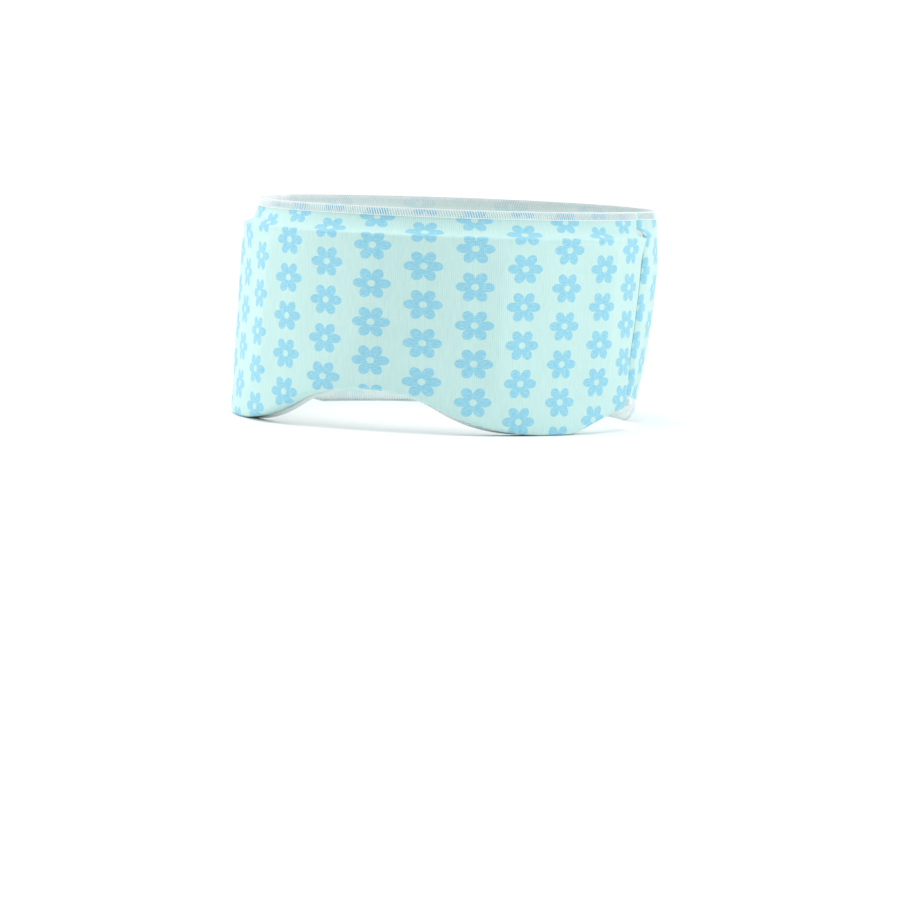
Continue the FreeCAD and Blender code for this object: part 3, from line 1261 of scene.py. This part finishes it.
@dataclass
class Cover:
    """The band without its gel pack."""

    shop: Workshop
    overlock: Overlock = Overlock()
    front_flat: Pair = (0.235, 0.100)
    back_flat: Pair = (0.245, 0.090)
    lining_flat: Pair = (0.225, 0.090)
    stitch_margin: float = 0.8 * MM
    allowance: float = 6.5 * MM
    allowance_gap: float = 0.35 * MM
    allowance_wave: float = 0.5 * MM
    stitch_gap: float = 0.6 * MM
    bundle: float = 1.7 * MM
    seam_margin: Pair = (1.5 * MM, 1.2 * MM)
    floor_inner_gap: float = 0.2 * MM
    floor_outer_gap: float = 1.6 * MM
    floor_ruffle: float = 0.2 * MM
    floor_margin: float = 3 * MM
    floor_height: float = 2.3 * MM
    floor_thickness: float = 1.1 * MM
    label_length: float = 23 * MM
    label_height: float = 16 * MM
    label_thickness: float = 0.18 * MM
    label_gap: float = 0.5 * MM
    label_off: float = 2.9 * MM
    label_lean: float = 3.2 * MM
    label_wave: float = 0.8 * MM
    label_start: float = 1.5 * MM

    def __post_init__(self) -> None:
        """Set out the three plies."""
        band = self.shop.band
        self.front, self.back, self.lining = FrontPanel(band), BackPanel(band), Lining(band)

    def build(self) -> None:
        """Make and dress the cover."""
        front_print = KnitFinish("front print", first_column=2.2, first_row=13.5).make()
        back_print = KnitFinish("back print", first_column=20.6, first_row=12.2).make()
        plain = KnitFinish(
            "plain side", ground=(0.76, 0.88, 0.86, 1), shade=(0.69, 0.82, 0.81, 1),
            ink=(0.52, 0.74, 0.81, 1), pale_ink=(0.58, 0.78, 0.84, 1), ink_strength=0.45,
            first_column=6.6,
        ).make()
        lining = KnitFinish(
            "lining", ground=(0.84, 0.88, 0.87, 1), shade=(0.74, 0.80, 0.79, 1),
            ink_strength=0.0,
        ).make()
        thread = ThreadFinish().make()
        self._plies(front_print, back_print, plain, lining)
        self._edges(thread)
        self._side_seams(plain, thread)
        self._bottom_seam(lining)
        self._label()

    def _plies(self, front_print: bpy.types.Material, back_print: bpy.types.Material,
               plain: bpy.types.Material, lining: bpy.types.Material) -> None:
        """Cut and shape the three plies.

        Args:
            front_print: The front's right side.
            back_print: The back's right side.
            plain: The wrong side of both.
            lining: The lining.
        """
        shop, cloth = self.shop, self.shop.band.cloth
        front = shop.piece(
            "front_cover", self.front.mesh(), Body.COVER, "front_print",
            ("outer_front_panel",), front_print, plain)
        shop.thicken(front, cloth, 1)
        back = shop.piece(
            "back_band", self.back.mesh(), Body.COVER, "back_print", ("back_panel",),
            back_print, plain)
        shop.thicken(back, cloth, 1)
        inner = shop.piece(
            "face_lining", self.lining.mesh(), Body.COVER, "lining", ("inner_front_panel",),
            lining)
        shop.thicken(inner, cloth)

    def _edges(self, thread: bpy.types.Material) -> None:
        """Overlock the cut edges of the three plies.

        Args:
            thread: The thread's finish.
        """
        band, shop = self.shop.band, self.shop
        top = band.height - band.thread
        front, back, lining = self.front, self.back, self.lining

        def outer(length: float, out: float, up: float) -> Vector:
            """Place thread on the front's top edge, where it follows the lip.

            Args:
                length: Length along the edge.
                out: Distance out from the cloth.
                up: Distance beyond the edge.

            Returns:
                The point.
            """
            angle = front.tape.angle_at(length)
            line = front.profile(angle)
            z = top + min(up, 0.0)
            after = next(row for row in range(len(line) - 1, 0, -1) if line[row - 1][1] <= z)
            (low_off, low_z), (high_off, high_z) = line[after - 1], line[after]
            ply = blend((z - low_z) / (high_z - low_z), low_off, high_off)
            return band.front(angle, top + up, ply - front.seam_fall(length) + out)

        def inner(length: float, out: float, up: float) -> Vector:
            """Place thread on the lining's top edge."""
            return lining.point(length, top + up, -out)

        def rear(length: float, out: float, up: float) -> Vector:
            """Place thread on the back's top edge."""
            return back.point(length, top + up, out)

        def hem(length: float, out: float, up: float) -> Vector:
            """Place thread on the back's lower edge."""
            return back.point(length, back.edge(length) - up, out)

        for name, node, tape, place in (
            ("front_top_stitching", "outer_top_overlock", front.tape, outer),
            ("lining_top_stitching", "inner_top_overlock", lining.tape, inner),
            ("back_top_stitching", "back_top_overlock", back.tape, rear),
            ("back_hem_stitching", "back_bottom_overlock", back.tape, hem),
        ):
            end = tape.length - self.stitch_margin
            mesh = self.overlock.mesh(self.stitch_margin, end, band.cloth, place)
            shop.piece(name, mesh, Body.COVER, "thread", (node,), thread)

    def _side_seams(self, cloth: bpy.types.Material, thread: bpy.types.Material) -> None:
        """Lay the folded allowances against the inside of the back, with their stitching.

        Args:
            cloth: The allowances' finish.
            thread: The thread's finish.
        """
        band, shop, back = self.shop.band, self.shop, self.back
        for name, node, near in (
            ("right_seam_allowance", "right_side_seam", 0.0),
            ("left_seam_allowance", "left_side_seam", back.tape.length),
        ):
            way = 1.0 if near == 0.0 else -1.0
            low = back.edge(near) + self.seam_margin[0]
            high = band.height - self.seam_margin[1]

            def place(along: float, up: float) -> tuple[Vector, float, float]:
                """Put one point of the allowance inside the back.

                Args:
                    along: Share of the way out from the seam.
                    up: Share of the way up the seam.

                Returns:
                    The point, and the cloth's lengths there.
                """
                out = along * self.allowance
                z = blend(up, low, high)
                wave = self.allowance_wave * math.sin(z * 95.0) ** 2 * along
                lift = -band.cloth - self.allowance_gap - wave
                return back.point(near + way * out, z, lift), out, z

            strip = shop.piece(
                name, shop.ply(8, 60, place, inside_out=near == 0.0), Body.COVER,
                "front_print", (node,), cloth)
            shop.thicken(strip, -way * self.bundle)

            def edge(length: float, out: float, up: float) -> Vector:
                """Place thread on the allowance's free edge.

                Args:
                    length: Length up the edge.
                    out: Distance out from the cloth.
                    up: Distance beyond the edge.

                Returns:
                    The point.
                """
                return back.point(
                    near + way * (self.allowance + up), low + length,
                    -band.cloth - self.stitch_gap + out)

            mesh = self.overlock.mesh(0.0, high - low, self.bundle, edge)
            shop.piece(f"{name}_stitching", mesh, Body.COVER, "thread", (), thread)

    def _bottom_seam(self, cloth: bpy.types.Material) -> None:
        """Lay the turned allowance on the floor of the pocket.

        Args:
            cloth: Its finish.
        """
        band, tape = self.shop.band, self.lining.tape

        def place(along: float, up: float) -> tuple[Vector, float, float]:
            """Put one point of the allowance on the pocket's floor.

            Args:
                along: Share of the way along the seam.
                up: Share of the way out from the lining.

            Returns:
                The point, and the cloth's lengths there.
            """
            length = blend(along, self.floor_margin, tape.length - self.floor_margin)
            angle = tape.angle_at(length)
            inner = band.cloth + self.floor_inner_gap
            off = blend(up, inner, band.face - band.cloth - self.floor_outer_gap)
            ruffle = self.floor_ruffle * math.sin(length * 700.0) * up
            z = band.front_edge(angle) + self.floor_height + ruffle
            return band.front(angle, z, off), length, off

        strip = self.shop.piece(
            "bottom_seam_allowance", self.shop.ply(200, 6, place), Body.COVER, "front_print",
            ("bottom_seam",), cloth)
        self.shop.thicken(strip, -self.floor_thickness)

    def _label(self) -> None:
        """Fold a blank tape and catch it in the left side seam."""
        band, back = self.shop.band, self.back
        long, high = self.label_length, self.label_height

        def place(along: float, up: float) -> tuple[Vector, float, float]:
            """Put one point of the tape on its folded loop.

            Args:
                along: Share of the way along the tape.
                up: Share of the way across it.

            Returns:
                The point, and the tape's lengths there.
            """
            cut = along * 2 * long
            out = min(cut, 2 * long - cut)
            share = out / long
            side = 1.0 if along > 0.5 else -1.0
            spread = self.label_gap * (1 - share**6) * side
            wave = self.label_wave * share * math.sin(along * 3.0)
            z = band.height / 2 + (up - 0.5) * high + wave
            lift = -band.cloth - self.label_off - self.label_lean * share**1.5 + spread
            return back.point(back.tape.length - self.label_start - out, z, lift), cut, z

        tape = self.shop.piece(
            "care_label_tape", self.shop.ply(64, 12, place), Body.COVER, "label",
            ("care_label",), SatinFinish().make())
        self.shop.thicken(tape, self.label_thickness)
        2 * long


# ---- the gel pack ----


@dataclass
class GelPack:
    """Two films welded into twelve upright channels, with gel in each."""

    shop: Workshop
    channels: int = 12
    columns_each: int = 10
    rows: int = 44
    start_share: float = 0.72
    pressure: float = 4.0
    frames: int = 14
    end_gap: float = 1.6 * MM
    foot_gap: float = 2.6 * MM
    top_gap: float = 1.6 * MM
    rim: float = 4.0 * MM
    weld: float = 2.3 * MM
    weld_thickness: float = 0.66 * MM
    rim_share: float = 0.8
    around_share: float = 0.97
    rounding: float = 0.6
    channel_shoulder: float = 10.6 * MM
    end_shoulder: float = 7 * MM
    rim_shoulder: float = 9 * MM
    pucker_depth: float = 0.35 * MM
    film_off: float = 0.28 * MM
    skin: float = 0.1 * MM
    blow_margin: float = 0.35 * MM
    gel_inset: float = 0.12 * MM
    gel_rim_gap: float = 0.6 * MM
    gel_weld: float = 0.02 * MM
    gel_faces: tuple[int, int] = (12, 40)
    divider_faces: tuple[int, int] = (3, 60)
    rim_faces: tuple[int, int] = (200, 4)
    end_faces: tuple[int, int] = (4, 60)

    def __post_init__(self) -> None:
        """Measure the pack's middle, from end to end."""
        band = self.shop.band
        self.top = band.pack_top - self.top_gap
        self.middle = (band.pack_back + band.pack_front) / 2
        self.half_depth = (band.pack_front - band.pack_back) / 2
        self.end = math.acos(self.end_gap / (band.front_depth + self.middle))

    def fullness(self, angle: float, up: float) -> float:
        """Return how full the pack is at a place, from 0 on a weld to 1.

        Args:
            angle: Angle round the head from the nose.
            up: Share of the way up the pack.

        Returns:
            The share of its full depth.
        """
        band = self.shop.band
        pitch = math.pi / self.channels
        around = band.front_depth * self.around_share
        from_weld = abs((angle / pitch + 0.5) % 1.0 - 0.5) * pitch * around
        from_end = (self.end - abs(angle)) * around
        foot = band.front_edge(angle) + self.foot_gap
        tall = self.top - foot
        from_rim = min(up, 1 - up) * tall
        across = min((from_weld - self.weld / 2) / self.channel_shoulder, 1.0)
        if from_end < self.rim:
            return 0.0
        if abs(angle) > RIGHT_ANGLE - pitch:
            across = min(across, (from_end - self.rim) / self.end_shoulder, 1.0)
        along = min((from_rim - self.rim) / self.rim_shoulder, 1.0)
        if across <= 0.0 or along <= 0.0:
            return 0.0
        wide, tall = 1 - (1 - across) ** 2, 1 - (1 - along) ** 2
        return wide**self.rounding * tall**self.rounding

    def pucker(self, angle: float, up: float) -> float:
        """Work out the small folds of the film where a channel meets its rim.

        Args:
            angle: Angle round the head from the nose.
            up: Share of the way up the pack.

        Returns:
            How far the film stands out.
        """
        near = math.exp(-((min(up, 1 - up) * 9.0) ** 2) * 0.35)
        folds = math.sin(angle * 105.0) * math.sin(up * 9.0 + angle * 4.0)
        return self.pucker_depth * near * folds

    def surface(self, angle: float, up: float, side: float, inset: float) -> Vector:
        """Return a point on the pack's front or back.

        Args:
            angle: Angle round the head from the nose.
            up: Share of the way up the pack.
            side: 1 on its front and -1 on its back.
            inset: Distance in from the film, which is 0 on the film itself.

        Returns:
            The point.
        """
        band = self.shop.band
        foot = band.front_edge(angle) + self.foot_gap
        full = self.fullness(angle, up) * self.start_share
        depth = max(full * (self.half_depth - self.skin + self.pucker(angle, up)) - inset, 0.0)
        off = self.middle + side * (depth + (self.film_off if inset == 0.0 else 0.0))
        return self.place(angle, blend(up, foot, self.top), off)

    def place(self, angle: float, z: float, off: float) -> Vector:
        """Return a point of the pack, whose ends follow the side seams."""
        return self.shop.band.front(self.shop.band.swept(angle, z), z, off)

    def build(self) -> None:
        """Make and dress the pack."""
        film = FilmFinish("clear film").make()
        frosted = FilmFinish("weld", tint=(0.62, 0.86, 0.95, 1), alpha=0.5, roughness=0.3).make()
        gel = GelFinish().make()
        self._films(film)
        self._welds(frosted)
        pitch = math.pi / self.channels
        for number in range(self.channels):
            self._cell(number, pitch, gel)

    def _films(self, film: bpy.types.Material) -> None:
        """Join the two films round their rim and blow them up.

        Args:
            film: Their finish.
        """
        columns = self.channels * self.columns_each
        fullness: list[float] = []

        def half(side: float) -> bpy.types.Mesh:
            """Shape the film on one side of the pack.

            Args:
                side: 1 for its front and -1 for its back.

            Returns:
                The film.
            """
            def place(along: float, up: float) -> tuple[Vector, float, float]:
                """Put one point of the film on the pack.

                Args:
                    along: Share of the way along the cut.
                    up: Share of the way up the cut.

                Returns:
                    The point, and its lengths on the cut.
                """
                angle = blend(along, -self.end, self.end)
                point = self.surface(angle, up, side, 0.0)
                fullness.append(self.fullness(angle, up))
                return point, angle * self.shop.band.front_depth, point.z

            return self.shop.ply(columns, self.rows, place, inside_out=side < 0)

        def close(joined: bmesh.types.BMesh) -> None:
            """Bridge the films' rims."""
            rims = [edge for edge in joined.edges if edge.is_boundary]
            bmesh.ops.bridge_loops(joined, edges=rims)

        mesh = self.shop.join((half(side) for side in (1.0, -1.0)), close)
        bag = self.shop.piece(
            "pack_films", mesh, Body.PACK, "film", ("pack_front_film", "pack_back_film"), film)
        self._inflate(bag, fullness)
        smoother = bag.modifiers.new("smooth film", "SUBSURF")
        smoother.levels = smoother.render_levels = 1

    def _inflate(self, bag: bpy.types.Object, fullness: list[float]) -> None:
        """Blow the films up between their welds with a short cloth simulation.

        Args:
            bag: The two films, joined round their rim.
            fullness: How full each point may be, 0 where the films are welded.
        """
        start = [vert.co.copy() for vert in bag.data.vertices]
        welds = bag.vertex_groups.new(name="welds")
        welds.add([number for number, full in enumerate(fullness) if full <= 0.0], 1.0, "REPLACE")
        air = bag.modifiers.new("air", "CLOTH")
        air.settings.vertex_group_mass = "welds"
        air.settings.use_pressure = True
        air.settings.uniform_pressure_force = self.pressure
        air.settings.effector_weights.gravity = 0.0
        air.settings.quality = 5
        air.point_cache.frame_start = 1
        air.point_cache.frame_end = self.frames
        scene = bpy.context.scene
        for number in range(1, self.frames + 1):
            scene.frame_set(number)
        blown = bag.evaluated_get(bpy.context.evaluated_depsgraph_get()).to_mesh()
        room = self.half_depth - self.blow_margin
        ends = []
        for vert, before, full in zip(blown.vertices, start, fullness):
            move = vert.co - before
            cap = room * (1 - self.start_share * full) if full > 0.0 else 0.0
            ends.append(before + move * min(1.0, cap / max(move.length, 1e-9)))
        bag.evaluated_get(bpy.context.evaluated_depsgraph_get()).to_mesh_clear()
        bag.modifiers.remove(air)
        bag.vertex_groups.remove(welds)
        for vert, end in zip(bag.data.vertices, ends):
            vert.co = end
        scene.frame_set(1)

    def _welds(self, frosted: bpy.types.Material) -> None:
        """Press the welds between the channels and round the rim.

        Args:
            frosted: Their finish.
        """
        band = self.shop.band
        pitch = math.pi / self.channels
        half = self.weld / 2 / band.front_depth
        rim = self.rim * self.rim_share / (self.top - self.foot_gap)
        end = self.rim * self.rim_share / band.front_depth
        strips = [
            (count * pitch - half, count * pitch + half, 0.0, 1.0, *self.divider_faces)
            for count in range(1 - self.channels // 2, self.channels // 2)
        ] + [
            (-self.end, self.end, 1 - rim, 1.0, *self.rim_faces),
            (-self.end, self.end, 0.0, rim, *self.rim_faces),
            (self.end - end, self.end, 0.0, 1.0, *self.end_faces),
            (-self.end, end - self.end, 0.0, 1.0, *self.end_faces),
        ]

        def strip(first: float, last: float, low: float, high: float,
                  columns: int, rows: int) -> bpy.types.Mesh:
            """Shape one weld.

            Args:
                first: The angle where it starts.
                last: The angle where it ends.
                low: Share of the way up the pack where it starts.
                high: Share of the way up the pack where it ends.
                columns: Faces along it.
                rows: Faces up it.

            Returns:
                The weld's front.
            """
            def place(along: float, up: float) -> tuple[Vector, float, float]:
                """Put one point of the weld on the pack's middle.

                Args:
                    along: Share of the way along the cut.
                    up: Share of the way up the cut.

                Returns:
                    The point, and its lengths on the cut.
                """
                angle, share = blend(along, first, last), blend(up, low, high)
                z = blend(share, band.front_edge(angle) + self.foot_gap, self.top)
                point = self.place(angle, z, self.middle + self.weld_thickness / 2)
                return point, angle * band.front_depth, point.z

            return self.shop.ply(columns, rows, place)

        mesh = self.shop.join(strip(*sizes) for sizes in strips)
        welds = self.shop.piece(
            "pack_weld_lines", mesh, Body.PACK, "film", ("pack_welds",), frosted)
        self.shop.thicken(welds, self.weld_thickness)

    def _cell(self, number: int, pitch: float, gel: bpy.types.Material) -> None:
        """Fill one channel with gel.

        Args:
            number: The channel, from 0.
            pitch: The angle that a channel takes up.
            gel: The gel's finish.
        """
        band = self.shop.band
        first = number * pitch - RIGHT_ANGLE
        half_weld = self.weld / 2 / band.front_depth
        low = max(first + half_weld, -self.end + self.rim / band.front_depth)
        high = min(first + pitch - half_weld, self.end - self.rim / band.front_depth)
        rim = (self.rim + self.gel_rim_gap) / (self.top - band.nose.rise)

        def half(side: float) -> bpy.types.Mesh:
            """Shape the gel's skin on one side.

            Args:
                side: 1 for the front and -1 for the back.

            Returns:
                The skin.
            """
            def place(along: float, up: float) -> tuple[Vector, float, float]:
                """Put one point of the gel just inside the film.

                Args:
                    along: Share of the way along the cut.
                    up: Share of the way up the cut.

                Returns:
                    The point, and its lengths on the cut.
                """
                angle, share = blend(along, low, high), blend(up, rim, 1 - rim)
                point = self.surface(angle, share, side, self.gel_inset)
                return point, along * MM, up * MM

            return self.shop.ply(*self.gel_faces, place, inside_out=side < 0)

        def close(joined: bmesh.types.BMesh) -> None:
            """Merge the skins where they meet."""
            bmesh.ops.remove_doubles(joined, verts=joined.verts, dist=self.gel_weld)

        mesh = self.shop.join((half(side) for side in (1.0, -1.0)), close)
        name = f"{number + 1:02d}"
        self.shop.piece(f"gel_{name}", mesh, Body.PACK, "gel", (f"gel_cell_{name}",), gel)


# ---- the studio ----


@dataclass(frozen=True)
class Studio:
    """A seamless pale sweep, two broad soft lights and the camera."""

    azimuth: float = math.radians(18.8)
    elevation: float = math.radians(4.9)
    roll: float = math.radians(2.2)
    distance: float = 1.80
    lens: float = 169.5
    drop: float = 59.5 * MM
    aside: float = 3.0 * MM
    sweep: Colour = (0.96, 0.97, 0.97, 1)
    floor_radius: float = 2.0
    floor_end: float = 1.0
    far_light: float = 1.08
    near_light: float = 0.29
    light_turn: Pair = (-0.05, 0.85)
    sensor: float = 36.0
    sight: float = 20.0
    aim_height: float = 50 * MM

    def build(self, band: Band) -> None:
        """Set the stage round the band.

        Args:
            band: The band.
        """
        self._sweep()
        self._lights()
        self._camera(band)
        self._room()
        bpy.context.scene.view_settings.view_transform = "Standard"

    def _room(self) -> None:
        """Light the room evenly from behind and above, and less from the camera's side."""
        world = bpy.data.worlds.new("studio")
        world.use_nodes = True
        tree = world.node_tree
        direction = tree.nodes.new("ShaderNodeTexCoord")
        towards = tree.nodes.new("ShaderNodeVectorMath")
        towards.operation = "DOT_PRODUCT"
        towards.inputs[1].default_value = (math.sin(self.azimuth), -math.cos(self.azimuth), 0.0)
        strength = tree.nodes.new("ShaderNodeMapRange")
        strength.interpolation_type = "SMOOTHSTEP"
        for label, value in zip(("From Min", "From Max", "To Min", "To Max"),
                                (*self.light_turn, self.far_light, self.near_light)):
            strength.inputs[label].default_value = value
        background = tree.nodes["Background"]
        background.inputs["Color"].default_value = (1.0, 1.0, 1.0, 1)
        tree.links.new(direction.outputs["Generated"], towards.inputs[0])
        tree.links.new(towards.outputs["Value"], strength.inputs["Value"])
        tree.links.new(strength.outputs["Result"], background.inputs["Strength"])
        bpy.context.scene.world = world

    def _sweep(self) -> None:
        """Lay the pale floor."""
        graph = Graph("pale sweep", Roughness=0.9, Specular_IOR_Level=0.1, Base_Color=self.sweep)
        shaped = bmesh.new()
        bmesh.ops.create_circle(shaped, cap_ends=True, segments=96, radius=self.floor_radius)
        mesh = bpy.data.meshes.new("sweep")
        shaped.to_mesh(mesh)
        shaped.free()
        mesh.materials.append(graph.material)
        floor = bpy.data.objects.new("floor", mesh)
        floor.location.y = self.floor_end - self.floor_radius
        bpy.context.scene.collection.objects.link(floor)
        floor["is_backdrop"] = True

    def _lights(self) -> None:
        """Hang the three softboxes, each with its place, side and power."""
        for name, place, size, power in (
            ("left softbox", (-1.6, -0.45, 0.6), 1.1, 7.2),
            ("right softbox", (1.55, -0.15, 0.6), 1.1, 6.4),
            ("top softbox", (0.0, -0.45, 1.8), 1.3, 12.0),
        ):
            light = bpy.data.lights.new(name, "AREA")
            light.shape = "RECTANGLE"
            light.size = size
            light.size_y = size
            light.energy = power
            lamp = bpy.data.objects.new(name, light)
            lamp.location = place
            towards = Vector((0.0, 0.0, self.aim_height)) - Vector(place)
            lamp.rotation_euler = towards.to_track_quat("-Z", "Y").to_euler()
            bpy.context.scene.collection.objects.link(lamp)

    def _camera(self, band: Band) -> None:
        """Stand the camera in front of the band.

        Args:
            band: The band.
        """
        camera = bpy.data.cameras.new("camera")
        camera.lens = self.lens
        camera.sensor_width = self.sensor
        camera.clip_end = self.sight
        eye = bpy.data.objects.new("camera", camera)
        target = Vector((
            self.aside * math.cos(self.azimuth), self.aside * math.sin(self.azimuth),
            band.height / 2 - self.drop,
        ))
        away = Vector((
            math.sin(self.azimuth) * math.cos(self.elevation),
            -math.cos(self.azimuth) * math.cos(self.elevation),
            math.sin(self.elevation),
        ))
        eye.location = target + away * self.distance
        turn = (-away).to_track_quat("-Z", "Y")
        eye.rotation_euler = (turn @ Quaternion((0.0, 0.0, 1.0), self.roll)).to_euler()
        bpy.context.scene.collection.objects.link(eye)
        bpy.context.scene.camera = eye


def main() -> None:
    """Build the eye pillow and its studio."""
    logging.basicConfig(level=logging.INFO, format="%(name)s: %(message)s")
    band = Band.from_frame()
    shop = Workshop(band)
    Studio().build(band)
    Cover(shop).build()
    GelPack(shop).build()
    LOG.info("%d pieces", len(shop.pieces))


if __name__ == "__main__":
    main()
